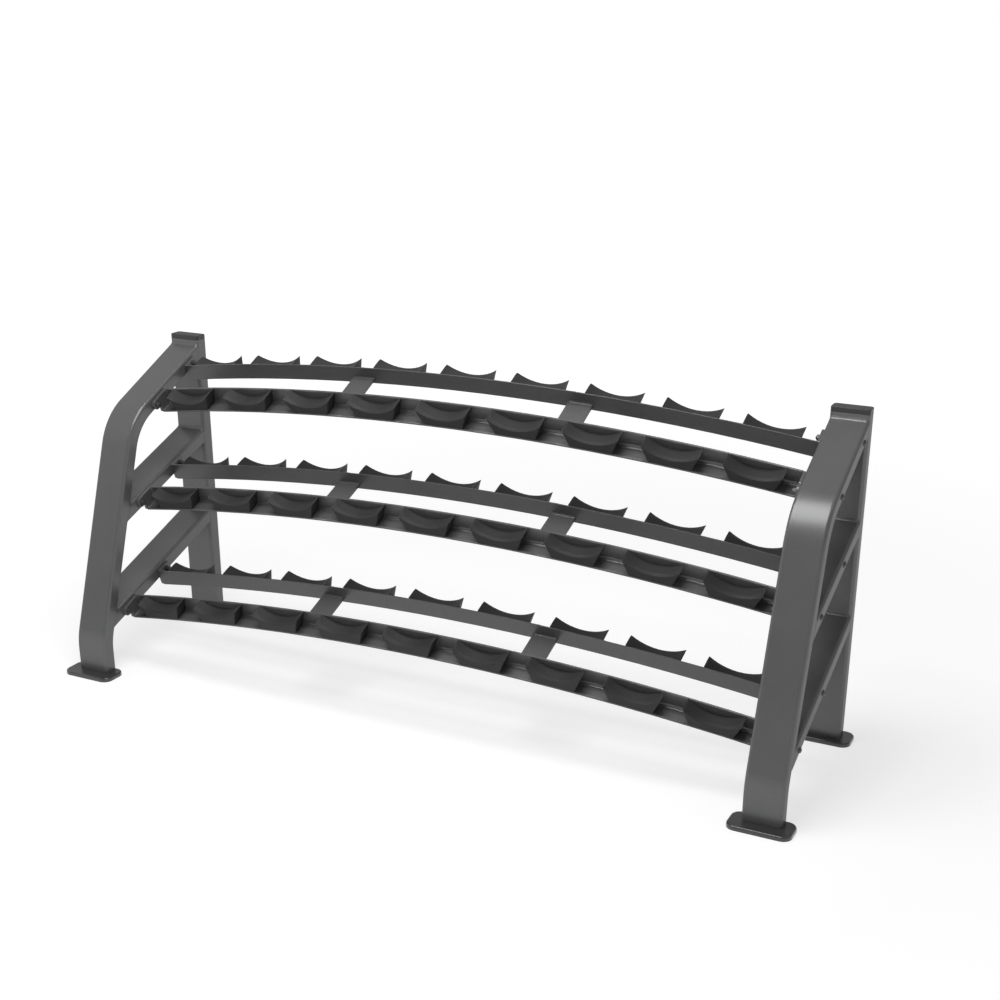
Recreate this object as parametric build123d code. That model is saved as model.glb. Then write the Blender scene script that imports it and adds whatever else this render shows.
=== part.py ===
"""Three-tier dumbbell rack with arched saddle trays.

Two welded tube end frames carry three sloping trays. Each tray has a rear and a front rail,
arched upwards in the middle: an upright wall cut from plate with a rolled flat ledge welded
along it. Flat cross bars join the two walls, and a tab at each rail end is bolted through the
arm of the frame. Nine moulded saddles sit on every ledge.
Millimetres, +Z up, front towards -Y, origin on the floor under the middle of the rack.
"""
import math
import os

from build123d import *

# Whole rack
FRAME_X = 1126.0          # centre plane of each end frame, left and right of the middle
HEIGHT = 1005.0           # floor to the top of the post caps
DEPTH = 700.0             # front of the front feet to the back of the rear feet

# Frame tube, rounded rectangle, wide side to the front
TUBE_W = 112.0
TUBE_D = 48.0
TUBE_R = 10.0
TUBE_T = 3.0
BEND_R = 181.0            # centre line radius of the tube bends

# Post caps and foot pads
CAP_T = 15.0
CAP_EDGE_R = 2.0
PLUG_LEN = 20.0           # spigot of caps and feet inside the tube
PLUG_CLEAR = 0.2          # gap between spigot and tube bore, each side
FOOT_L = 180.0
FOOT_D = 92.0
FOOT_T = 13.0
FOOT_R = 28.0
FOOT_EDGE_R = 5.0

# Side view of the frame
POST_SET = 62.0           # back of the rear feet to the front face of the posts
LEG_SET = 43.3            # front of the front feet to the front face of the legs
POST_FRONT_Y = DEPTH / 2 - POST_SET
SHIN_Y = LEG_SET - DEPTH / 2
FOOT_BACK_Y = DEPTH / 2 - FOOT_D / 2
FOOT_FRONT_Y = -FOOT_BACK_Y
SHIN_Z = 116.6            # height where the leg starts to lean
LEG_LEAN = 18.72          # lean of the front leg from upright, degrees

# Trays, top first: slope, height of the arm's top face at the post, way down the arm from the
# post to the rear wall's front face, and drop from the arm's top face to the rails' underside
SLOPES = (25.2, 20.6, 20.7)
ARM_TOP_Z = (974.3, 687.6, 402.7)
TRAY_RUN = (94.0, 204.5, 331.1)
TRAY_DROP = (70.4, 61.6, 70.7)
TIERS = ("top", "middle", "bottom")

# Arched rails: wall plate and ledge strip
ARCH_R = 6530.0           # radius of the underside of the rails
END_X = 1061.0            # half length of the rails
WALL_H = 56.0
LEDGE_D = 52.0
RAIL_T = 5.0
RAIL_GAP = 123.0          # between the two upright walls
RAIL_TOE_R = 2.5

# Cross bars between the walls, and end tabs against the arms
CROSS_X = 365.0
CROSS_W = 76.0
CROSS_T = 8.0
CROSS_TOP = 18.0          # top face above the underside of the rails
TAB_BACK = 57.0           # reach of the rear tab behind the rear wall face
TAB_H = 57.0
TAB_R = 4.0
LUG_R = 16.0
LUG_ROOT = 10.0           # overlap of the front tab's lug with the tab

# Tray bolts, M10
BOLT_U = (38.0, -188.0)   # along the slope from the rear wall face
BOLT_V = 40.0             # above the underside of the rails
BOLT_D = 10.0
BOLT_HOLE_D = 11.0
BOLT_HEAD_D = 17.5
BOLT_HEAD_H = 5.5
BOLT_KEY = 6.0            # hexagon socket, across flats
WASHER_D = 20.0
WASHER_T = 2.0
NUT_AF = 16.0
NUT_H = 8.4
BOLT_END = 3.0            # thread past the nut

# Saddles
SADDLE_N = 9
SADDLE_PITCH = 233.6      # along the underside of the rail
SADDLE_SHIFT = -3.0       # middle saddle from the middle of the rail
SADDLE_W = 169.0
SADDLE_BASE = 128.0
SADDLE_H = 50.5
HORN_FLAT = 3.0
TROUGH = 25.5             # depth of the cradle below the horn tips
LIP_BACK = 12.0           # wall to where the lip starts to fall at the horns
LIP_DIP = 12.0            # dip of the lip's surface below the horn tips there
LIP_DEPTH = 29.3          # lip below the horn tips at the middle of the outer face
LIP_END = 0.8             # and at the two horns
SADDLE_HEEL = 9.5         # chamfer that clears the weld between wall and ledge
SADDLE_FOOT_R = 6.0
SADDLE_FACE_CH = 1.5      # chamfer round the outer face

# Saddle screws, M6 pan head, from under the ledge
SCREW_U = 28.0
SCREW_D = 6.0
SCREW_HOLE_D = 7.0
SCREW_HEAD_D = 12.0
SCREW_HEAD_H = 3.8
SCREW_LEN = 18.0          # thread inside the saddle
SCREW_SEAT = 0.02         # head clear of the hollow underside of the arched ledge

ARCH_C = math.sqrt(ARCH_R ** 2 - END_X ** 2)
RISE = ARCH_R - ARCH_C
ARM_INNER = FRAME_X - TUBE_W / 2
ARM_OUTER = FRAME_X + TUBE_W / 2
TAB_T = ARM_INNER - END_X
POST_TOP = HEIGHT - CAP_T
ARCH_AXIS = Axis((0, 0, -ARCH_C), (0, 1, 0))


def save(shape, name):
    export_step(shape, os.path.join("parts", name + ".step"))


def tube_face(inset=0.0):
    """Rounded rectangle of the tube, shrunk by inset on every side."""
    return RectangleRounded(TUBE_W - 2 * inset, TUBE_D - 2 * inset, max(TUBE_R - inset, 1.0))


def tube_ring():
    return tube_face() - tube_face(TUBE_T)


def tray_place(tier):
    """Frame of one tray, hung on its arm: x across, y up the slope, z off the tray."""
    slope = math.radians(SLOPES[tier])
    y = POST_FRONT_Y - TRAY_RUN[tier] * math.cos(slope) + TRAY_DROP[tier] * math.sin(slope)
    z = ARM_TOP_Z[tier] - TRAY_RUN[tier] * math.sin(slope) - TRAY_DROP[tier] * math.cos(slope)
    return Location((0, y, z), (SLOPES[tier], 0, 0))


def arch_turn(shape, arc):
    """Turn a shape built over the middle of the tray along the arch by an arc length."""
    return shape.rotate(ARCH_AXIS, math.degrees(arc / ARCH_R))


def box(x0, x1, y0, y1, z0, z1):
    return Pos((x0 + x1) / 2, (y0 + y1) / 2, (z0 + z1) / 2) * Box(x1 - x0, y1 - y0, z1 - z0)


# Lines of the frame in the side view (y, z)
LEAN = math.radians(LEG_LEAN)
LEG_UP = (math.sin(LEAN), math.cos(LEAN))
TOP_SLOPE = math.radians(SLOPES[0])


def leg_corner():
    """Where the leaning front face of the leg would meet the top face of the top arm."""
    t = math.tan(TOP_SLOPE)
    k = math.tan(LEAN)
    z = (ARM_TOP_Z[0] + t * (SHIN_Y - k * SHIN_Z - POST_FRONT_Y)) / (1 - t * k)
    return SHIN_Y + k * (z - SHIN_Z), z


def leg_centre_line():
    """Corner points of the leg's centre line: foot, lower bend, upper bend, past the post."""
    h = TUBE_D / 2
    cy, cz = leg_corner()
    low_z = SHIN_Z - h * math.tan(LEAN / 2)
    turn = (math.pi / 2 - LEAN - TOP_SLOPE) / 2
    back = h / math.cos(turn)
    aim = -(LEAN + turn)
    bend = (cy + back * math.cos(aim), cz + back * math.sin(aim))
    run = (POST_FRONT_Y + TUBE_D - bend[0]) / math.cos(TOP_SLOPE)
    end = (bend[0] + run * math.cos(TOP_SLOPE), bend[1] + run * math.sin(TOP_SLOPE))
    return [(SHIN_Y + h, FOOT_T), (SHIN_Y + h, low_z), bend, end]


def bolt_cutters(side, tiers):
    """Clearance holes for the tray bolts through one frame."""
    out = []
    for tier in tiers:
        for u in BOLT_U:
            hole = Cylinder(BOLT_HOLE_D / 2, TUBE_W * 2, rotation=(0, 90, 0))
            out.append(tray_place(tier) * Pos(side * FRAME_X, u, BOLT_V) * hole)
    return out


def front_leg(side):
    pts = [(0, y, z) for y, z in leg_centre_line()]
    path = FilletPolyline(*pts, radius=BEND_R)
    start = Plane(origin=pts[0], x_dir=(1, 0, 0), z_dir=(0, 0, 1))
    outer = sweep(start * tube_face(), path=path)
    inner = sweep(start * tube_face(TUBE_T), path=path)
    solid = outer - inner
    solid -= box(-TUBE_W, TUBE_W, POST_FRONT_Y, POST_FRONT_Y + DEPTH, 0, 2 * HEIGHT)
    solid = Pos(side * FRAME_X, 0, 0) * solid
    for hole in bolt_cutters(side, (0,)):
        solid -= hole
    return solid


def rear_post(side):
    y = POST_FRONT_Y + TUBE_D / 2
    post = extrude(Pos(side * FRAME_X, y, FOOT_T) * tube_ring(), POST_TOP - FOOT_T)
    return post


def cross_arm(side, tier):
    """Arm cut flat against the leg's rear face and the post's front face."""
    slope = math.radians(SLOPES[tier])
    drop = TUBE_D / 2 / math.cos(slope)
    origin = (side * FRAME_X, POST_FRONT_Y, ARM_TOP_Z[tier] - drop)
    along = Plane(origin=origin, x_dir=(1, 0, 0), z_dir=(0, -math.cos(slope), -math.sin(slope)))
    arm = extrude(along * tube_ring(), 2 * DEPTH, both=True)
    mid_x = side * FRAME_X
    arm -= box(mid_x - TUBE_W, mid_x + TUBE_W, POST_FRONT_Y, 4 * DEPTH, -2 * HEIGHT, 3 * HEIGHT)
    rear_y = SHIN_Y + TUBE_D / math.cos(LEAN)
    leg_back = Plane(origin=(side * FRAME_X, rear_y, SHIN_Z), x_dir=(1, 0, 0),
                     z_dir=(0, -math.cos(LEAN), math.sin(LEAN)))
    arm -= extrude(leg_back * Rectangle(2 * TUBE_W, 6 * HEIGHT), 4 * DEPTH)
    for hole in bolt_cutters(side, (tier,)):
        arm -= hole
    return arm


def plug(length):
    return extrude(tube_face(TUBE_T + PLUG_CLEAR), length)


def post_cap(side):
    y = POST_FRONT_Y + TUBE_D / 2
    slab = extrude(tube_face(), CAP_T)
    slab = fillet(slab.edges().group_by(Axis.Z)[-1], CAP_EDGE_R)
    spigot = Pos(0, 0, -PLUG_LEN) * plug(PLUG_LEN)
    return Pos(side * FRAME_X, y, POST_TOP) * (slab + spigot)


def foot_pad(side, foot_y, tube_y):
    pad = extrude(RectangleRounded(FOOT_L, FOOT_D, FOOT_R), FOOT_T)
    pad = fillet(pad.edges().group_by(Axis.Z)[-1], FOOT_EDGE_R)
    spigot = Pos(0, tube_y - foot_y, FOOT_T) * plug(PLUG_LEN)
    return Pos(side * FRAME_X, foot_y, 0) * (pad + spigot)


def rolled_strip(front, near, far, height):
    """Strip section from near to far off the wall face, turned about the arch axis and cut square
    at both ends, with the edge that points away from the rail's inner corner rounded."""
    s = -1 if front else 1
    base = -RAIL_GAP if front else 0.0
    pts = [(near, 0), (far, 0), (far, height), (near, height)]
    face = make_face(Polyline(*[(base + s * u, RISE + v) for u, v in pts], close=True))
    toe = [c for c in face.vertices() if abs(c.X - base - s * far) < 0.01 and c.Y > RISE + height / 2]
    face = fillet(toe, RAIL_TOE_R)
    half = math.degrees(math.asin(END_X / ARCH_R)) + 0.5
    section = (Plane.YZ * face).rotate(ARCH_AXIS, -half)
    body = revolve(section, axis=ARCH_AXIS, revolution_arc=2 * half)
    reach = RAIL_GAP + 2 * LEDGE_D
    tall = RISE + 4 * WALL_H
    return body & box(-END_X, END_X, -reach, reach, -tall, tall)


def rail_wall(front):
    return rolled_strip(front, 0.0, RAIL_T, WALL_H)


def rail_ledge(front):
    """Ledge strip with one screw hole under each saddle."""
    body = rolled_strip(front, RAIL_T, LEDGE_D, RAIL_T)
    u = -RAIL_GAP - SCREW_U if front else SCREW_U
    for arc in saddle_arcs():
        hole = Pos(0, u, RISE) * Cylinder(SCREW_HOLE_D / 2, 6 * RAIL_T)
        body -= arch_turn(hole, arc)
    return body


def saddle_arcs():
    return [SADDLE_SHIFT + (i - (SADDLE_N - 1) / 2) * SADDLE_PITCH for i in range(SADDLE_N)]


def arc_height(x, half, middle, end):
    """Height at x of the circular arc through (0, middle) and (half, end)."""
    sag = end - middle
    r = (half ** 2 + sag ** 2) / (2 * sag)
    return middle + r - math.copysign(math.sqrt(r * r - x * x), r)


def hollow(half, middle, end, y, over=0.0):
    """Face above a circular arc through both horns and the middle, in the plane at y."""
    wide = half + over
    tip = arc_height(wide, half, middle, end)
    top = 2 * SADDLE_H
    arc = ThreePointArc((-wide, tip), (0, middle), (wide, tip))
    lid = Polyline((wide, tip), (wide, top), (-wide, top), (-wide, tip))
    place = Plane(origin=(0, y, 0), x_dir=(1, 0, 0), z_dir=(0, -1, 0))
    return place * make_face(arc + lid)


def saddle_block():
    """One saddle: outer face towards -y, heel towards the wall at y = 0, seat at z = 0."""
    depth = LEDGE_D - RAIL_T
    b, w = SADDLE_BASE / 2, SADDLE_W / 2
    outline = make_face(Polyline((-b, 0), (b, 0), (w, SADDLE_H), (-w, SADDLE_H), close=True))
    outline = fillet(outline.vertices().group_by(Axis.Y)[0], SADDLE_FOOT_R)
    place = Plane(origin=(0, 0, 0), x_dir=(1, 0, 0), z_dir=(0, -1, 0))
    block = extrude(place * outline, depth)
    face_edges = block.faces().sort_by(Axis.Y)[0].edges()
    side_edges = [e for e in face_edges if e.center().Z < SADDLE_H - 1]
    block = chamfer(side_edges, SADDLE_FACE_CH)
    block -= extrude(hollow(w - HORN_FLAT, SADDLE_H - TROUGH, SADDLE_H, 1), depth + 2)
    back = hollow(w - HORN_FLAT, SADDLE_H - LIP_DIP, SADDLE_H, -LIP_BACK, 2 * HORN_FLAT)
    face = hollow(w, SADDLE_H - LIP_DEPTH, SADDLE_H - LIP_END, -depth - 0.01, HORN_FLAT)
    block -= loft([back, face])
    heel = make_face(Polyline((0.01, -0.01), (-SADDLE_HEEL, -0.01), (0.01, SADDLE_HEEL), close=True))
    block -= extrude(Plane.YZ * heel, SADDLE_W, both=True)
    pilot = Pos(0, RAIL_T - SCREW_U, 0) * Cylinder(SCREW_D / 2, 2 * SCREW_LEN)
    return block - pilot


def saddles(front):
    block = saddle_block()
    out = []
    for arc in saddle_arcs():
        piece = block if front else block.rotate(Axis.Z, 180)
        wall = -RAIL_GAP - RAIL_T if front else RAIL_T
        out.append(arch_turn(Pos(0, wall, RISE + RAIL_T) * piece, arc))
    return out


def saddle_screw():
    """Pan head screw, head under the ledge, thread up into the saddle."""
    head = Pos(0, 0, -SCREW_HEAD_H / 2) * Cylinder(SCREW_HEAD_D / 2, SCREW_HEAD_H)
    head = fillet(head.edges().group_by(Axis.Z)[0], SCREW_HEAD_H * 0.6)
    head -= Pos(0, 0, -SCREW_HEAD_H) * extrude(RegularPolygon(BOLT_KEY / 2, 6), SCREW_HEAD_H * 0.5)
    shank = Pos(0, 0, (RAIL_T + SCREW_LEN) / 2) * Cylinder(SCREW_D / 2, RAIL_T + SCREW_LEN)
    return head + shank


def cross_bar(side):
    """Flat bar welded between the facing walls of the two rails."""
    bar = box(-CROSS_W / 2, CROSS_W / 2, -RAIL_GAP, 0, RISE + CROSS_TOP - CROSS_T, RISE + CROSS_TOP)
    return arch_turn(bar, side * CROSS_X)


def end_tab(side, front):
    """Tab welded across one rail end; the front one has a lug ahead of the ledge for its bolt."""
    if front:
        edge = -RAIL_GAP - LEDGE_D
        bolt_u = BOLT_U[1]
        sheet = Pos((edge - RAIL_GAP) / 2, TAB_H / 2) * RectangleRounded(LEDGE_D, TAB_H, TAB_R)
        root = edge + LUG_ROOT
        sheet += Pos((root + bolt_u) / 2, BOLT_V) * Rectangle(root - bolt_u, 2 * LUG_R)
        sheet += Pos(bolt_u, BOLT_V) * Circle(LUG_R)
    else:
        bolt_u = BOLT_U[0]
        sheet = Pos(TAB_BACK / 2, TAB_H / 2) * RectangleRounded(TAB_BACK, TAB_H, TAB_R)
    sheet -= Pos(bolt_u, BOLT_V) * Circle(BOLT_HOLE_D / 2)
    tab = extrude(Plane.YZ * sheet, TAB_T)
    return Pos(END_X if side > 0 else -END_X - TAB_T, 0, 0) * tab


def tray_bolt():
    """Button head bolt along +x, head seat at x = 0, head towards +x."""
    reach = TUBE_W + TAB_T + WASHER_T + NUT_H + BOLT_END
    shank = Pos(-reach / 2, 0, 0) * Cylinder(BOLT_D / 2, reach, rotation=(0, 90, 0))
    r = BOLT_HEAD_D / 2
    dome = make_face(Polyline((0, 0), (r, 0)) + Line((r, 0), (r, 0.8))
                     + ThreePointArc((r, 0.8), (r * 0.72, BOLT_HEAD_H * 0.8), (r * 0.4, BOLT_HEAD_H))
                     + Polyline((r * 0.4, BOLT_HEAD_H), (0, BOLT_HEAD_H), (0, 0)))
    head = revolve(Plane.XZ * dome, axis=Axis.Z)
    head -= Pos(0, 0, BOLT_HEAD_H * 0.35) * extrude(RegularPolygon(BOLT_KEY / 2, 6, major_radius=False),
                                                    BOLT_HEAD_H)
    head = head.rotate(Axis.Y, 90)
    return head + shank


def tray_washer():
    ring = Circle(WASHER_D / 2) - Circle(BOLT_HOLE_D / 2)
    return extrude(Plane.YZ * ring, WASHER_T)


def tray_nut():
    nut = extrude(RegularPolygon(NUT_AF / 2, 6, major_radius=False) - Circle(BOLT_D / 2), NUT_H)
    cone = Pos(0, 0, NUT_H / 2) * Cone(NUT_AF / 2 + 0.3 + NUT_H, NUT_AF / 2 + 0.3, NUT_H)
    return (nut & cone).rotate(Axis.Y, 90)


def fastener_group(kind):
    """Every bolt, washer or nut of the trays, placed on both frames."""
    out = []
    for tier in range(3):
        for side in (1, -1):
            for u in BOLT_U:
                if kind == "bolt":
                    piece = Pos(ARM_OUTER, 0, 0) * tray_bolt()
                elif kind == "washer":
                    piece = Pos(END_X - WASHER_T, 0, 0) * tray_washer()
                else:
                    piece = Pos(END_X - WASHER_T, 0, 0) * tray_nut().mirror(Plane.YZ)
                if side < 0:
                    piece = piece.mirror(Plane.YZ)
                out.append(tray_place(tier) * Pos(0, u, BOLT_V) * piece)
    return Compound(children=out)


os.makedirs("parts", exist_ok=True)

for side, name in ((-1, "left"), (1, "right")):
    save(front_leg(side), name + "_front_leg")
    save(rear_post(side), name + "_rear_post")
    save(cross_arm(side, 1), name + "_middle_arm")
    save(cross_arm(side, 2), name + "_lower_arm")
    save(post_cap(side), name + "_post_cap")
    save(foot_pad(side, FOOT_FRONT_Y, SHIN_Y + TUBE_D / 2), name + "_front_foot")
    save(foot_pad(side, FOOT_BACK_Y, POST_FRONT_Y + TUBE_D / 2), name + "_rear_foot")

rows = (("rear", False), ("front", True))
walls = [rail_wall(front) for row, front in rows]
ledges = [rail_ledge(front) for row, front in rows]
blocks = [saddles(front) for row, front in rows]
for tier, name in enumerate(TIERS):
    at = tray_place(tier)
    for k, (row, front) in enumerate(rows):
        save(at * walls[k], name + "_" + row + "_wall")
        save(at * ledges[k], name + "_" + row + "_ledge")
        save(at * end_tab(-1, front), name + "_left_" + row + "_tab")
        save(at * end_tab(1, front), name + "_right_" + row + "_tab")
        save(Compound(children=[at * b for b in blocks[k]]), name + "_" + row + "_saddles")
    save(at * cross_bar(-1), name + "_left_cross_bar")
    save(at * cross_bar(1), name + "_right_cross_bar")

for kind in ("bolt", "washer", "nut"):
    save(fastener_group(kind), "tray_" + kind + "s")

screws = []
for tier in range(3):
    for u in (SCREW_U, -RAIL_GAP - SCREW_U):
        for arc in saddle_arcs():
            screw = Pos(0, u, RISE - SCREW_SEAT) * saddle_screw()
            screws.append(tray_place(tier) * arch_turn(screw, arc))
save(Compound(children=screws), "saddle_screws")
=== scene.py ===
"""Looks of a three-tier dumbbell rack: coated tube frames, arched rails, moulded saddles."""
import math

import bmesh
import bpy
import numpy as np
from mathutils import Matrix, Vector


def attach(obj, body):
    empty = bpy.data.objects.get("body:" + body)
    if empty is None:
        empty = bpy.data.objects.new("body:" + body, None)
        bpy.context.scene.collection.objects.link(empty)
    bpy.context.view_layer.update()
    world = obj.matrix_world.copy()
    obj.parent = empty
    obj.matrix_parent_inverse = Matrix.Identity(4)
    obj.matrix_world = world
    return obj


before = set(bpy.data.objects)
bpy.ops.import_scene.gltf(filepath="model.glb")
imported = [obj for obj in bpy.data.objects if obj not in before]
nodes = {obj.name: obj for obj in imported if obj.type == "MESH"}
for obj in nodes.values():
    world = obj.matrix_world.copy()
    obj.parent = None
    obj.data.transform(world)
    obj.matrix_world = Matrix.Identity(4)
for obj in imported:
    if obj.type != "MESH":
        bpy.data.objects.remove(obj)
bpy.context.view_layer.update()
sides = ("left", "right")
tiers = ("top", "middle", "bottom")


# End frames: bent front legs, rear posts and cross arms of rectangular steel tube, welded up
# and then sprayed in one go with a satin grey powder coat that holds a little metal flake.
def shader_group(name, inputs, outputs):
    """Empty shader group with float inputs (name: default) and outputs (name: socket type)."""
    tree = bpy.data.node_groups.new(name, "ShaderNodeTree")
    tree.interface.new_socket("Place", in_out="INPUT", socket_type="NodeSocketVector")
    for label, value in inputs.items():
        socket = tree.interface.new_socket(label, in_out="INPUT", socket_type="NodeSocketFloat")
        socket.default_value = value
    for label, kind in outputs.items():
        tree.interface.new_socket(label, in_out="OUTPUT", socket_type="NodeSocket" + kind)
    return tree, tree.nodes.new("NodeGroupInput"), tree.nodes.new("NodeGroupOutput")


def add(tree, kind, links=None, **settings):
    """New node: settings are attributes, links map an input to a socket or a plain value."""
    node = tree.nodes.new("ShaderNode" + kind)
    for key, value in settings.items():
        setattr(node, key, value)
    for key, value in (links or {}).items():
        if isinstance(value, bpy.types.NodeSocket):
            tree.links.new(value, node.inputs[key])
        else:
            node.inputs[key].default_value = value
    return node


# Powder coat: orange peel a few millimetres across, flake much finer, slow clouding of the tone.
coat_scales = {"Peel": 420.0, "Flake": 1500.0, "Cloud": 5.0}
coat_skin, gin, gout = shader_group("powder_coat_skin", coat_scales,
                                    {"Peel": "Float", "Flake": "Float", "Cloud": "Float"})
peel = add(coat_skin, "TexNoise", {"Vector": gin.outputs["Place"], "Scale": gin.outputs["Peel"],
                                   "Detail": 2.0, "Roughness": 0.45})
flake = add(coat_skin, "TexVoronoi", {"Vector": gin.outputs["Place"], "Scale": gin.outputs["Flake"]})
spark = add(coat_skin, "MapRange", {"Value": flake.outputs["Color"], "From Min": 0.62, "From Max": 1.0})
cloud = add(coat_skin, "TexNoise", {"Vector": gin.outputs["Place"], "Scale": gin.outputs["Cloud"],
                                    "Detail": 4.0, "Roughness": 0.6})
coat_skin.links.new(peel.outputs["Fac"], gout.inputs["Peel"])
coat_skin.links.new(spark.outputs["Result"], gout.inputs["Flake"])
coat_skin.links.new(cloud.outputs["Fac"], gout.inputs["Cloud"])

# Soft edge: the coat rounds every cut edge. Normal gives that rounding to the shading, and Edge marks the
# narrow band where materials paint a highlight.
soft_edge, gin, gout = shader_group("soft_edge", {"Reach": 0.002}, {"Normal": "Vector", "Edge": "Float"})
rounded = add(soft_edge, "Bevel", {"Radius": gin.outputs["Reach"]}, samples=6)
plain = add(soft_edge, "NewGeometry")
facing = add(soft_edge, "VectorMath", {0: rounded.outputs["Normal"], 1: plain.outputs["Normal"]},
             operation="DOT_PRODUCT")
edge = add(soft_edge, "MapRange", {"Value": facing.outputs["Value"], "From Min": 0.995, "From Max": 0.80})
soft_edge.links.new(rounded.outputs["Normal"], gout.inputs["Normal"])
soft_edge.links.new(edge.outputs["Result"], gout.inputs["Edge"])


def use_group(tree, group, links):
    """New node that holds a shader group, with links as for any other node."""
    return add(tree, "Group", links, node_tree=group)


def blank_material(name):
    """Material with only its output and a Principled shader, and the piece's Object coordinates."""
    material = bpy.data.materials.new(name)
    material.use_nodes = True
    tree = material.node_tree
    tree.nodes.clear()
    out = tree.nodes.new("ShaderNodeOutputMaterial")
    shader = tree.nodes.new("ShaderNodeBsdfPrincipled")
    tree.links.new(shader.outputs["BSDF"], out.inputs["Surface"])
    place = tree.nodes.new("ShaderNodeTexCoord").outputs["Object"]
    return material, tree, shader, place


def coat_material(name, dark, light, rough, metal, coat, reach, peel_depth):
    """Powder coat over steel: clouded grey, flake in the film, peel in the bump, painted highlight on cut
    edges.
    """
    material, tree, shader, place = blank_material(name)
    skin = use_group(tree, coat_skin, {"Place": place, **coat_scales})
    rim = use_group(tree, soft_edge, {"Place": place, "Reach": reach})
    tone = add(tree, "Mix", {"Factor": skin.outputs["Cloud"], "A": dark, "B": light}, data_type="RGBA")
    lift = add(tree, "MapRange", {"Value": skin.outputs["Flake"], "To Min": 0.0, "To Max": 0.16})
    glint = add(tree, "Mix", {"Factor": lift.outputs["Result"], "A": tone.outputs["Result"],
                              "B": (0.40, 0.40, 0.39, 1)}, data_type="RGBA")
    # Painted highlight: the cut-edge band is mixed towards a paler grey, standing in for light on the
    # rounded edges.
    painted_edge_highlight = add(tree, "MapRange", {"Value": rim.outputs["Edge"], "To Min": 0.0, "To Max": 0.22})
    colour = add(tree, "Mix", {"Factor": painted_edge_highlight.outputs["Result"], "A": glint.outputs["Result"],
                               "B": (0.30, 0.30, 0.30, 1)}, data_type="RGBA")
    gloss = add(tree, "MapRange", {"Value": skin.outputs["Cloud"], "From Min": 0.25, "From Max": 0.75,
                                   "To Min": rough - 0.04, "To Max": rough + 0.05})
    bump = add(tree, "Bump", {"Height": skin.outputs["Peel"], "Strength": 0.35, "Distance": peel_depth,
                              "Normal": rim.outputs["Normal"]})
    tree.links.new(colour.outputs["Result"], shader.inputs["Base Color"])
    tree.links.new(gloss.outputs["Result"], shader.inputs["Roughness"])
    tree.links.new(bump.outputs["Normal"], shader.inputs["Normal"])
    shader.inputs["Metallic"].default_value = metal
    shader.inputs["Coat Weight"].default_value = coat
    shader.inputs["Coat Roughness"].default_value = 0.22
    shader.inputs["Specular IOR Level"].default_value = 0.3
    shader.inputs["Specular Tint"].default_value = (0.35, 0.35, 0.35, 1)
    return material


def dress(node_name, material):
    """Give a CAD node its one material."""
    mesh = nodes[node_name].data
    mesh.materials.clear()
    mesh.materials.append(material)


frame_coat = coat_material("frame_coat", (0.134, 0.135, 0.135, 1), (0.162, 0.163, 0.163, 1),
                           rough=0.33, metal=0.5, coat=0.05, reach=0.002, peel_depth=0.00025)
for side in sides:
    for piece in ("front_leg", "rear_post", "middle_arm", "lower_arm"):
        dress(side + "_" + piece, frame_coat)


# Frame welds: fillet beads round the arm ends, where a flat-cut tube meets the rounded tube beside
# it. They were laid by hand before coating, fill the groove at the corners and carry the same coat.
tube_half_x, tube_half_h, tube_round = 0.056, 0.024, 0.010
frame_x = 1.126
post_front_y = 0.288
leg_lean = math.radians(18.72)
leg_front_y, leg_start_z = -0.3067, 0.1166
leg_back = (leg_front_y + 2 * tube_half_h / math.cos(leg_lean), leg_start_z)
throat, crown, sink = 0.0065, 0.0016, 0.0003
corner_gap, draw_in = 0.0015, 0.62
ripple_height, ripple_pitch = 0.00022, 0.0042
root_depth, root_ahead = 0.002, 0.0004
weld_coat = coat_material("weld_coat", (0.128, 0.129, 0.129, 1), (0.154, 0.155, 0.155, 1),
                          rough=0.36, metal=0.5, coat=0.05, reach=0.0003, peel_depth=0.00025)
arm_slopes = {"top": 25.2, "middle": 20.6, "lower": 20.7}
arm_top_z = {"top": 0.9743, "middle": 0.6876, "lower": 0.4027}


def swept_bead(name, rings, closed, material):
    """Bead from rings[along, round, xyz]: each ring is joined to the next by quads, the last one to
    the first where the bead runs round, or both ends get a lid."""
    rows, cols = rings.shape[:2]
    index = np.arange(rows * cols).reshape(rows, cols)
    here = index if closed else index[:-1]
    ahead = np.roll(index, -1, axis=0) if closed else index[1:]
    quads = np.stack([here, np.roll(here, -1, axis=1), np.roll(ahead, -1, axis=1), ahead], axis=-1)
    faces = quads.reshape(-1, 4).tolist()
    if not closed:
        faces += [index[0, ::-1].tolist(), index[-1].tolist()]
    mesh = bpy.data.meshes.new(name)
    mesh.from_pydata(rings.reshape(-1, 3).tolist(), [], faces)
    shell = bmesh.new()
    shell.from_mesh(mesh)
    bmesh.ops.recalc_face_normals(shell, faces=shell.faces)
    shell.to_mesh(mesh)
    shell.free()
    mesh.polygons.foreach_set("use_smooth", np.ones(len(mesh.polygons), dtype=bool))
    mesh.materials.append(material)
    piece = bpy.data.objects.new(name, mesh)
    bpy.context.scene.collection.objects.link(piece)
    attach(piece, "root")


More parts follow.
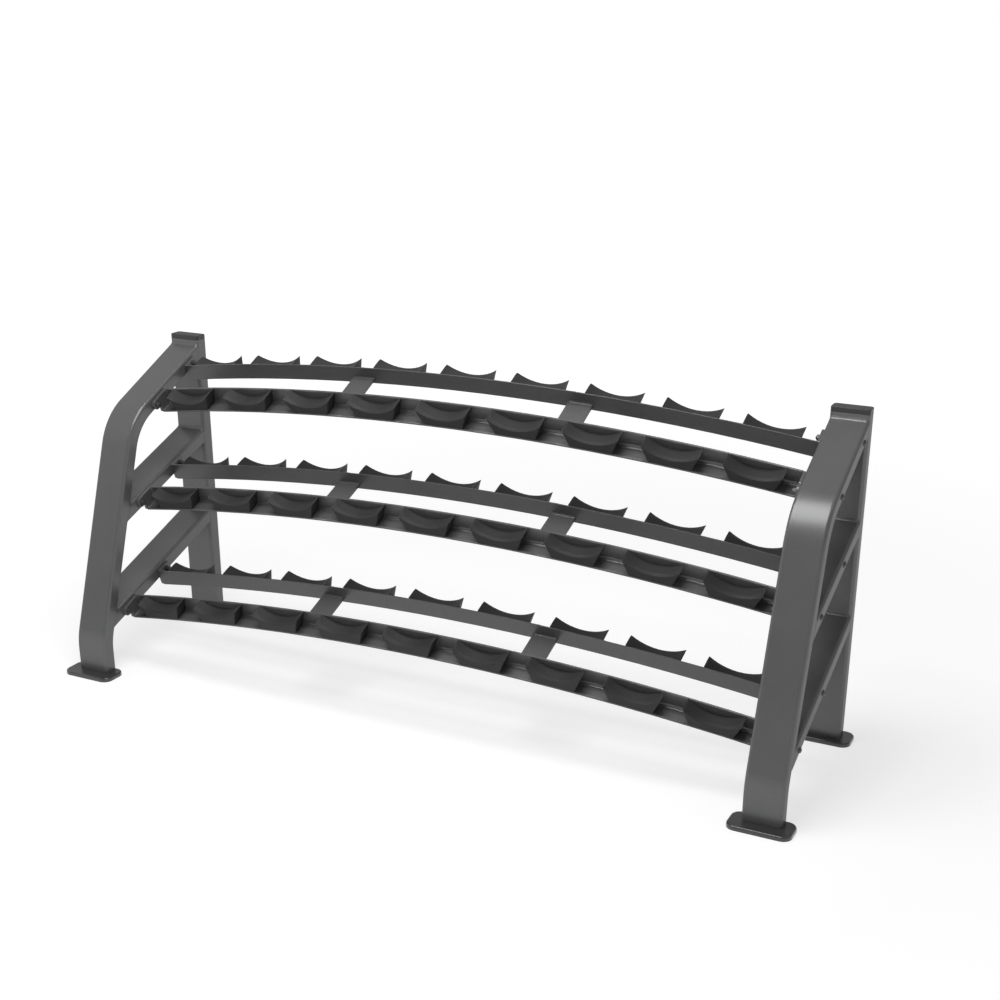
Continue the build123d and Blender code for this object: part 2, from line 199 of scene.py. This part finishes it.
def tube_outline(count):
    """Points round the tube's section, even along its length: across, up, and the outward normal.
    Four quarter circles about the corner centres, joined by the straight sides."""
    turn = np.linspace(0, math.pi / 2, 12)
    quarter = turn[None, :] + np.arange(4)[:, None] * math.pi / 2
    centre_x = (tube_half_x - tube_round) * np.array([1, 1, -1, -1])[:, None]
    centre_h = (tube_half_h - tube_round) * np.array([1, -1, -1, 1])[:, None]
    rows = np.stack([centre_x + tube_round * np.sin(quarter), centre_h + tube_round * np.cos(quarter),
                     np.sin(quarter), np.cos(quarter)], axis=-1).reshape(-1, 4)
    rows = np.concatenate([rows, rows[:1]])
    steps = np.hypot(np.diff(rows[:, 0]), np.diff(rows[:, 1]))
    length = np.concatenate([[0], np.cumsum(steps)])
    even = np.linspace(0, length[-1], count, endpoint=False)
    return even, np.stack([np.interp(even, length, rows[:, k]) for k in range(4)], axis=-1)


def arm_end_bead(side_x, centre, along, meet, into):
    """Bead round a flat-cut arm. One edge lies on the arm, a throat length back from the cut, the
    other on the other tube's face or its rounded corner. Between them runs a quadratic curve, drawn
    in towards the joint on the wide faces and crowned a little at the narrow sides, with faint ripples."""
    run, section = tube_outline(280)
    across, up, sin_n, cos_n = section.T
    centre, along, meet, into = (np.array(v) for v in (centre, along, meet, into))
    normal = np.array([0.0, -along[2], along[1]]) * np.sign(along[1])
    rise = np.array([0.0, -into[2], into[1]]) * np.sign(into[1])
    side = np.array([1.0, 0.0, 0.0])
    line = centre + up[:, None] * normal
    reach = ((meet - line) @ into) / (along @ into)
    cut = line + reach[:, None] * along + (side_x + across)[:, None] * side
    slow_sway, quick_sway = 0.06 * np.sin(run * 97), 0.05 * np.sin(run * 223 + 1.3)
    width = throat * (1 + slow_sway + quick_sway)
    outward = sin_n[:, None] * side + cos_n[:, None] * normal
    face_out = sin_n[:, None] * side - np.abs(cos_n)[:, None] * into
    on_arm = cut - width[:, None] * along - sink * outward
    depth = tube_round * (1 - np.abs(cos_n)) + corner_gap * np.abs(sin_n)
    on_tube = cut + depth[:, None] * into + (width * cos_n)[:, None] * rise - sink * face_out
    middle = (on_arm + on_tube) / 2
    flat = np.abs(cos_n)[:, None]
    ripple = ripple_height * np.cos(run * 2 * math.pi / ripple_pitch)[:, None]
    pulled_in = draw_in * cut + (1 - draw_in) * middle
    pull = flat * pulled_in + (1 - flat) * (middle + crown * outward) + ripple * outward
    t = np.linspace(0, 1, 7)[None, :, None]
    curve = (1 - t) ** 2 * on_arm[:, None] + 2 * t * (1 - t) * pull[:, None] + t ** 2 * on_tube[:, None]
    root = (cut - root_depth * outward + root_ahead * into)[:, None]
    return np.concatenate([curve, root], axis=1)


for side, sign in (("left", -1), ("right", 1)):
    for arm, degrees in arm_slopes.items():
        slope = math.radians(degrees)
        centre = (0, post_front_y, arm_top_z[arm] - tube_half_h / math.cos(slope))
        up_slope = (0, math.cos(slope), math.sin(slope))
        bead = arm_end_bead(sign * frame_x, centre, up_slope, (0, post_front_y, 0), (0, 1, 0))
        swept_bead(side + "_" + arm + "_arm_post_weld", bead, True, weld_coat)
        if arm == "top":
            continue
        down_slope = (0, -math.cos(slope), -math.sin(slope))
        into_leg = (0, -math.cos(leg_lean), math.sin(leg_lean))
        bead = arm_end_bead(sign * frame_x, centre, down_slope, (0,) + leg_back, into_leg)
        swept_bead(side + "_" + arm + "_arm_leg_weld", bead, True, weld_coat)


# Post caps: black moulded plugs pushed into the tops of the rear posts, with a flange that
# covers the tube's edge. The mould was spark-textured, so the skin is fine and satin.
mould_skin, gin, gout = shader_group("mould_skin", {"Grain": 900.0, "Flow": 12.0},
                                     {"Grain": "Float", "Flow": "Float"})
grain = add(mould_skin, "TexNoise", {"Vector": gin.outputs["Place"], "Scale": gin.outputs["Grain"],
                                     "Detail": 3.0, "Roughness": 0.65})
flow = add(mould_skin, "TexNoise", {"Vector": gin.outputs["Place"], "Scale": gin.outputs["Flow"],
                                    "Detail": 5.0, "Roughness": 0.55, "Distortion": 0.8})
mould_skin.links.new(grain.outputs["Fac"], gout.inputs["Grain"])
mould_skin.links.new(flow.outputs["Fac"], gout.inputs["Flow"])


def moulded_material(name, dark, light, rough, grain, depth, rim_light):
    """Moulded black plastic or rubber: flow clouds in tone and gloss, grained skin, painted highlight on
    the rims.
    """
    material, tree, shader, place = blank_material(name)
    skin = use_group(tree, mould_skin, {"Place": place, "Grain": grain, "Flow": 12.0})
    rim = use_group(tree, soft_edge, {"Place": place, "Reach": 0.0018})
    tone = add(tree, "Mix", {"Factor": skin.outputs["Flow"], "A": dark, "B": light}, data_type="RGBA")
    # Painted highlight: the rim band is mixed towards a paler grey, as much as rim_light asks.
    painted_rim_highlight = add(tree, "MapRange", {"Value": rim.outputs["Edge"], "To Min": 0.0, "To Max": rim_light})
    colour = add(tree, "Mix", {"Factor": painted_rim_highlight.outputs["Result"], "A": tone.outputs["Result"],
                               "B": (0.16, 0.16, 0.155, 1)}, data_type="RGBA")
    gloss = add(tree, "MapRange", {"Value": skin.outputs["Flow"], "From Min": 0.25, "From Max": 0.75,
                                   "To Min": rough - 0.06, "To Max": rough + 0.06})
    bump = add(tree, "Bump", {"Height": skin.outputs["Grain"], "Strength": 0.4, "Distance": depth,
                              "Normal": rim.outputs["Normal"]})
    tree.links.new(colour.outputs["Result"], shader.inputs["Base Color"])
    tree.links.new(gloss.outputs["Result"], shader.inputs["Roughness"])
    tree.links.new(bump.outputs["Normal"], shader.inputs["Normal"])
    return material


cap_plastic = moulded_material("cap_plastic", (0.026, 0.026, 0.026, 1), (0.038, 0.038, 0.038, 1),
                               rough=0.42, grain=900.0, depth=0.0002, rim_light=0.3)
for side in sides:
    dress(side + "_post_cap", cap_plastic)


# Feet: black rubber pads with rounded edges, their spigots pushed up into the leg and the post.
# Rubber straight from a polished mould is smoother than the caps and shows a soft shine.
foot_rubber = moulded_material("foot_rubber", (0.028, 0.028, 0.028, 1), (0.042, 0.042, 0.042, 1),
                               rough=0.30, grain=600.0, depth=0.00015, rim_light=0.3)
for side in sides:
    dress(side + "_front_foot", foot_rubber)
    dress(side + "_rear_foot", foot_rubber)
foot_shader = foot_rubber.node_tree.nodes["Principled BSDF"]
foot_shader.inputs["Coat Weight"].default_value = 0.6
foot_shader.inputs["Coat Roughness"].default_value = 0.12


# Trays: arched wall plates with a rolled ledge strip along each, flat cross bars between the walls
# and tabs across the rail ends, welded up and sprayed with the same powder as the frames.
rail_coat = coat_material("rail_coat", (0.132, 0.133, 0.134, 1), (0.158, 0.159, 0.160, 1),
                          rough=0.34, metal=0.45, coat=0.05, reach=0.0022, peel_depth=0.0002)
for tier in tiers:
    for row in ("rear", "front"):
        dress(tier + "_" + row + "_wall", rail_coat)
        dress(tier + "_" + row + "_ledge", rail_coat)
        for side in sides:
            dress(tier + "_" + side + "_" + row + "_tab", rail_coat)
    for side in sides:
        dress(tier + "_" + side + "_cross_bar", rail_coat)


# Tray welds: a long concave seam in the corner of wall and ledge, short ones where the cross bars
# meet the walls and where the rails meet their tabs. All are ground smooth and coated with the tray.
tray_slope = {"top": 25.2, "middle": 20.6, "bottom": 20.7}
tray_origin = {"top": (0.23292, 0.87058), "middle": (0.11825, 0.55799), "bottom": (0.00327, 0.21953)}
arch_radius = 6.530
rail_half = 1.061
rail_gap = 0.123
plate = 0.005
ledge_depth = 0.052
wall_height = 0.056
arch_centre = math.sqrt(arch_radius ** 2 - rail_half ** 2)
bar_place, bar_half = 0.365, 0.038
bar_under, bar_top = 0.010, 0.018
rail_fillet, bar_fillet, tab_fillet = 0.009, 0.0045, 0.004
corner_sink = 0.0006


def tray_place(tier, across, up_slope, off):
    """Points of a tray's own frame in the rack's frame: across, up the slope, and off the tray."""
    slope = math.radians(tray_slope[tier])
    y, z = tray_origin[tier]
    across, up_slope, off = np.broadcast_arrays(across, up_slope, off)
    return np.stack([across, y + up_slope * math.cos(slope) - off * math.sin(slope),
                     z + up_slope * math.sin(slope) + off * math.cos(slope)], axis=-1)


def fillet_profile(size):
    """Concave quarter circle of radius size in the corner of two faces, as distances from both, from
    one face to the other, closed by a point just behind the corner."""
    turn = np.linspace(0, math.pi / 2, 8)
    near = np.append(size * (1 - np.cos(turn)), -corner_sink)
    far = np.append(size * (1 - np.sin(turn)), -corner_sink)
    return near, far


def rail_seam(tier, row):
    """The fillet profile in the corner of wall and ledge, carried along the rail's arch, where a line
    at height off over the ledge's underside lies on the circle of radius arch_radius + off."""
    away, start = (1, plate) if row == "rear" else (-1, -rail_gap - plate)
    near, far = fillet_profile(1.0)
    end_gap = 0.0002
    x = np.linspace(-rail_half + end_gap, rail_half - end_gap, 420)[:, None]
    slow_sway, quick_sway = 0.03 * np.sin(x * 61), 0.03 * np.sin(x * 143 + 2)
    size = rail_fillet * (1 + slow_sway + quick_sway)
    up_slope = start + away * np.where(near < 0, near, near * size)
    off = plate + np.where(far < 0, far, far * size)
    return tray_place(tier, x, up_slope, np.sqrt((arch_radius + off) ** 2 - x ** 2) - arch_centre)


def cross_bar_seam(tier, sign, face, above):
    """The fillet profile between a wall face and the top or underside of a cross bar, carried across
    the bar. Its radius falls with the root of 1.02 - (x / bar_half) ** 6, so both ends run out thin."""
    arc = sign * bar_place / arch_radius
    near, far = fillet_profile(1.0)
    x = bar_half * np.sin(np.linspace(-math.pi / 2, math.pi / 2, 40))[:, None]
    size = bar_fillet * np.sqrt(1.02 - (x / bar_half) ** 6)
    inward = -1 if face == 0.0 else 1
    up_slope = face + inward * np.where(near < 0, near, near * size)
    height, outward = (bar_top, 1) if above else (bar_under, -1)
    off = height + outward * np.where(far < 0, far, far * size)
    across = x * math.cos(arc) + (arch_radius + off) * math.sin(arc)
    lift = -x * math.sin(arc) + (arch_radius + off) * math.cos(arc) - arch_centre
    return tray_place(tier, across, up_slope, lift)


def tab_seam(tier, sign, row):
    """The fillet profile in the corner of rail and tab, carried down the wall and out along the ledge;
    at the turn it follows a small quarter circle."""
    away, start = (1, plate) if row == "rear" else (-1, -rail_gap - plate)
    turn_r, margin, thin_end = 0.008, 0.003, 0.35
    steps = 24
    down = np.linspace(wall_height - margin, plate + turn_r, steps)
    bend = np.linspace(0, math.pi / 2, 9)[1:-1]
    out = np.linspace(turn_r, ledge_depth - plate - margin, steps)
    side_run = np.concatenate([np.zeros(steps), turn_r * (1 - np.cos(bend)), out])[:, None]
    height = np.concatenate([down, plate + turn_r * (1 - np.sin(bend)), np.full(steps, plate)])[:, None]
    lean = np.concatenate([np.zeros(steps), bend, np.full(steps, math.pi / 2)])[:, None]
    near, far = fillet_profile(tab_fillet)
    fade = np.ones((len(side_run), 1))
    fade[[0, -1]] = thin_end
    up_slope = start + away * (side_run + near * fade * np.cos(lean))
    x = rail_half - far * fade
    off = height + near * fade * np.sin(lean)
    lift = np.sqrt(arch_radius ** 2 - x ** 2) - arch_centre
    return tray_place(tier, sign * x, up_slope, off + lift)


for tier in tiers:
    for row in ("rear", "front"):
        swept_bead(tier + "_" + row + "_seam", rail_seam(tier, row), False, weld_coat)
        for side, sign in (("left", -1), ("right", 1)):
            name = tier + "_" + side + "_" + row
            swept_bead(name + "_tab_weld", tab_seam(tier, sign, row), False, weld_coat)
            face = 0.0 if row == "rear" else -rail_gap
            for above, place in ((True, "upper"), (False, "under")):
                seam = cross_bar_seam(tier, sign, face, above)
                swept_bead(name + "_bar_" + place + "_weld", seam, False, weld_coat)


# Saddles: black moulded cradles, nine to a rail, matt so that the dumbbells don't slip.
# Their edges, the lip on the outer side among them, are painted a little paler as a highlight.
saddle_plastic = moulded_material("saddle_plastic", (0.022, 0.022, 0.0215, 1), (0.031, 0.031, 0.0305, 1),
                                  rough=0.58, grain=700.0, depth=0.0003, rim_light=0.2)
saddle_plastic.node_tree.nodes["Principled BSDF"].inputs["Specular IOR Level"].default_value = 0.3
for tier in tiers:
    dress(tier + "_rear_saddles", saddle_plastic)
    dress(tier + "_front_saddles", saddle_plastic)


# Fasteners: grey coated steel bolts, washers and nuts at the tray ends, pan head screws under the
# ledges. The coat is thin and uneven, and every cut edge is painted paler as a highlight.
coated_steel, tree, shader, place = blank_material("coated_steel")
skin = use_group(tree, mould_skin, {"Place": place, "Grain": 1600.0, "Flow": 90.0})
rim = use_group(tree, soft_edge, {"Place": place, "Reach": 0.0006})
tone = add(tree, "Mix", {"Factor": skin.outputs["Flow"], "A": (0.075, 0.076, 0.077, 1),
                         "B": (0.120, 0.120, 0.119, 1)}, data_type="RGBA")
# Painted highlight: every cut edge of the fasteners is mixed towards a pale steel grey.
painted_bolt_edge_highlight = add(tree, "MapRange", {"Value": rim.outputs["Edge"], "To Min": 0.0, "To Max": 0.4})
colour = add(tree, "Mix", {"Factor": painted_bolt_edge_highlight.outputs["Result"], "A": tone.outputs["Result"],
                           "B": (0.35, 0.34, 0.33, 1)}, data_type="RGBA")
gloss = add(tree, "MapRange", {"Value": skin.outputs["Grain"], "To Min": 0.28, "To Max": 0.5})
bump = add(tree, "Bump", {"Height": skin.outputs["Grain"], "Strength": 0.2, "Distance": 0.0001,
                          "Normal": rim.outputs["Normal"]})
tree.links.new(colour.outputs["Result"], shader.inputs["Base Color"])
tree.links.new(gloss.outputs["Result"], shader.inputs["Roughness"])
tree.links.new(bump.outputs["Normal"], shader.inputs["Normal"])
shader.inputs["Metallic"].default_value = 0.6
for group in ("tray_bolts", "tray_washers", "tray_nuts", "saddle_screws"):
    dress(group, coated_steel)


# Floor: plain pale sheet without an edge in view. It glows just enough for the lit part to reach
# white, more where the lamps no longer reach, so only the soft shadow under the rack is left on it.
floor_mesh = bpy.data.meshes.new("floor")
reach = 400.0
floor_mesh.from_pydata([(-reach, -reach, 0), (reach, -reach, 0), (reach, reach, 0), (-reach, reach, 0)],
                       [], [(0, 1, 2, 3)])
floor = bpy.data.objects.new("floor", floor_mesh)
bpy.context.scene.collection.objects.link(floor)
floor_paint = bpy.data.materials.new("floor_paint")
floor_paint.use_nodes = True
tree = floor_paint.node_tree
tree.nodes.clear()
floor_out = tree.nodes.new("ShaderNodeOutputMaterial")
path = tree.nodes.new("ShaderNodeLightPath")
mirrored = add(tree, "Math", {0: path.outputs["Is Camera Ray"], 1: path.outputs["Is Glossy Ray"]},
               operation="MAXIMUM")
seen = add(tree, "Math", {0: mirrored.outputs["Value"], 1: path.outputs["Is Transmission Ray"]},
           operation="MAXIMUM")
matt = add(tree, "BsdfDiffuse", {"Color": (0.80, 0.80, 0.80, 1)})
seen_matt = add(tree, "BsdfDiffuse", {"Color": (0.45, 0.45, 0.45, 1)})
place = tree.nodes.new("ShaderNodeTexCoord").outputs["Object"]
far = add(tree, "VectorMath", {0: place}, operation="LENGTH")
rise = add(tree, "MapRange", {"Value": far.outputs["Value"], "From Min": 1.6, "From Max": 5.0,
                              "To Min": 0.62, "To Max": 0.88})
glow = add(tree, "Emission", {"Color": (1, 1, 1, 1), "Strength": rise.outputs["Result"]})
lifted = add(tree, "AddShader", {0: seen_matt.outputs["BSDF"], 1: glow.outputs["Emission"]})
pick = add(tree, "MixShader", {0: seen.outputs["Value"], 1: matt.outputs["BSDF"],
                               2: lifted.outputs["Shader"]})
tree.links.new(pick.outputs["Shader"], floor_out.inputs["Surface"])
floor_mesh.materials.append(floor_paint)


# Light: one wide softbox overhead, a little in front of the rack, a large weak one at the left, a
# small one at the right for the highlight on the right bend, and a surround that is white at the
# horizon and pale grey above it, the same for every ray.
world = bpy.data.worlds.new("surround")
bpy.context.scene.world = world
world.use_nodes = True
tree = world.node_tree
tree.nodes.clear()
world_out = tree.nodes.new("ShaderNodeOutputWorld")
horizon_white, sky_grey = 1.0, 0.37
heading = tree.nodes.new("ShaderNodeTexCoord").outputs["Generated"]
height = add(tree, "SeparateXYZ", {0: heading})
fade = add(tree, "MapRange", {"Value": height.outputs["Z"], "From Min": 0.015, "From Max": 0.12,
                              "To Min": horizon_white, "To Max": sky_grey})
even = add(tree, "Background", {"Color": (1, 1, 1, 1), "Strength": fade.outputs["Result"]})
tree.links.new(even.outputs["Background"], world_out.inputs["Surface"])


def softbox(name, place, aim, width, depth, power):
    """Rectangular area lamp at place, turned to look at aim."""
    lamp = bpy.data.lights.new(name, "AREA")
    lamp.shape = "RECTANGLE"
    lamp.size = width
    lamp.size_y = depth
    lamp.energy = power
    body = bpy.data.objects.new(name, lamp)
    bpy.context.scene.collection.objects.link(body)
    turn = (Vector(aim) - Vector(place)).to_track_quat("-Z", "Y")
    body.matrix_world = Matrix.Translation(place) @ turn.to_matrix().to_4x4()


softbox("overhead_softbox", (-0.1, -0.75, 3.5), (-0.05, -0.2, 0.5), 2.3, 1.8, 79.0)
softbox("left_softbox", (-3.2, -0.5, 2.0), (0.0, -0.5, 0.9), 4.5, 2.2, 15.0)
softbox("right_softbox", (2.9, 0.55, 3.7), (0.9, 0.0, 0.4), 0.4, 0.3, 2.8)


# Camera: at the right front and above, turned and shifted as the view of the rack asks. The image
# is 1000 pixels square, and the lens axis meets it below the middle.
camera_data = bpy.data.cameras.new("camera")
camera = bpy.data.objects.new("camera", camera_data)
bpy.context.scene.collection.objects.link(camera)
bpy.context.scene.camera = camera
yaw, pitch, roll = math.radians(26.345), math.radians(21.672), math.radians(0.125)
ahead = Vector((-math.sin(yaw), math.cos(yaw), 0))
across = Vector((math.cos(yaw), math.sin(yaw), 0))
look = ahead * math.cos(pitch) - Vector((0, 0, math.sin(pitch)))
upright = ahead * math.sin(pitch) + Vector((0, 0, math.cos(pitch)))
right = across * math.cos(roll) + upright * math.sin(roll)
top = upright * math.cos(roll) - across * math.sin(roll)
turned = Matrix((right, top, -look)).transposed().to_4x4()
camera.matrix_world = Matrix.Translation((2.0495, -3.7295, 1.9909)) @ turned
camera_data.sensor_width = 36.0
camera_data.lens = 53.94
camera_data.shift_y = 0.1143
camera_data.clip_end = 900.0

bpy.context.scene.view_settings.view_transform = "Standard"
bpy.context.view_layer.update()
